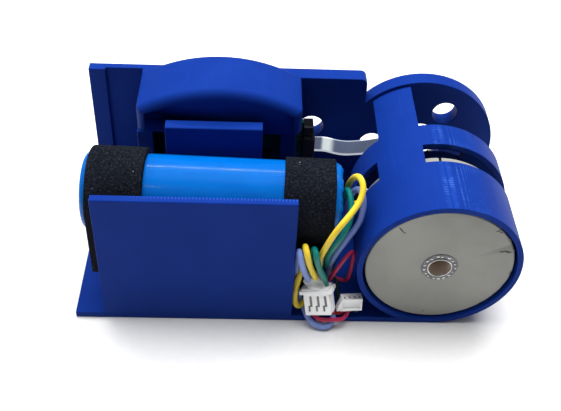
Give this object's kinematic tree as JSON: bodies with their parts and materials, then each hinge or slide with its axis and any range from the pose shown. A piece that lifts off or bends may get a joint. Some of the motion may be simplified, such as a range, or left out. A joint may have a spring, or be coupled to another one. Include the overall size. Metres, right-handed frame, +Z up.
{
  "type": "robot joint actuator",
  "caption": "Printed joint module: round motor cup with a hollow-shaft motor and rear flange, foam-held lithium cell, arched electronics housing, flat cable and looped motor leads.",
  "frame": {"origin": "middle of the footprint, on the surface that the base stands on", "axes": "+X towards the motor end, +Y from the motor's open face towards the rear wall along the motor axis, +Z up"},
  "size_m": [0.124, 0.0631, 0.0533],
  "materials": {
    "blue_print": "royal blue printed plastic with fine layer lines",
    "circuit_board": "solder-masked glass-fibre laminate",
    "chip_black": "moulded chip packages",
    "capacitor_can": "drawn cans",
    "socket_black": "moulded sockets",
    "ribbon_silver": "satin silver flat cable",
    "brass_posts": "turned posts",
    "screw_steel": "machine screws",
    "cell_sleeve": "azure shrink sleeve over a metal can",
    "cell_metal": "plated contact",
    "cell_insulator": "insulating ring",
    "foam_charcoal": "soft closed-cell foam",
    "motor_silver": "turned, warm grey",
    "magnet_nickel": "nickel-plated magnets",
    "stator_steel": "stacked laminations",
    "coil_copper": "enamelled copper windings",
    "mount_aluminium": "turned mount",
    "bearing_steel": "ground steel",
    "shaft_steel": "turned steel",
    "guide_black": "moulded guide",
    "plug_ivory": "nylon housings",
    "wire_yellow": "soft silicone insulation",
    "wire_teal": "soft silicone insulation",
    "wire_violet": "soft silicone insulation",
    "wire_red": "thin insulation",
    "wire_crimson": "thin insulation",
    "wire_black": "thin insulation"
  },
  "bodies": {
    "chassis": {"tray": "blue_print", "back_wall": "blue_print", "motor_housing": "blue_print", "housing_lid": "blue_print", "housing_frame": "blue_print", "drive_board": "circuit_board", "encoder_board": "circuit_board", "drive_controller": "chip_black", "drive_transistors": "chip_black", "encoder_chip": "chip_black", "drive_capacitors": "capacitor_can", "ribbon_socket": "socket_black", "encoder_socket": "socket_black", "encoder_ribbon": "ribbon_silver", "encoder_posts": "brass_posts", "encoder_screws": "screw_steel", "mount_screws": "screw_steel", "cell_body": "cell_sleeve", "cell_cap": "cell_metal", "cell_insulator": "cell_insulator", "foam_wrap_left": "foam_charcoal", "foam_wrap_right": "foam_charcoal", "foam_pad_left": "foam_charcoal", "foam_pad_right": "foam_charcoal", "stator_core": "stator_steel", "stator_coils": "coil_copper", "stator_mount": "mount_aluminium", "bearing_front_outer": "bearing_steel", "bearing_rear_outer": "bearing_steel", "wire_guide": "guide_black", "phase_plug": "plug_ivory", "signal_plug": "plug_ivory", "phase_wire_yellow": "wire_yellow", "phase_wire_teal": "wire_teal", "phase_wire_violet": "wire_violet", "signal_wire_red": "wire_red", "signal_wire_crimson": "wire_crimson", "signal_wire_black": "wire_black"},
    "rotor": {"rotor_bell": "motor_silver", "rotor_magnets": "magnet_nickel", "output_shaft": "shaft_steel", "lock_ring": "shaft_steel", "encoder_magnet": "magnet_nickel", "bearing_front_inner": "bearing_steel", "bearing_rear_inner": "bearing_steel"},
    "ball_sets": {"bearing_front_balls": "bearing_steel", "bearing_rear_balls": "bearing_steel"}
  },
  "joints": [
    {"name": "output_turn", "type": "hinge", "parent": "chassis", "child": "rotor", "pos_m": [0.0385, -0.0175, 0.0225], "axis": [0, -1, 0], "continuous": true},
    {"name": "ball_roll", "type": "hinge", "parent": "chassis", "child": "ball_sets", "pos_m": [0.0385, -0.0175, 0.0225], "axis": [0, -1, 0], "continuous": true}
  ],
  "couplings": [
    {"joint": "ball_roll", "follows": "output_turn", "ratio": 0.4318}
  ]
}
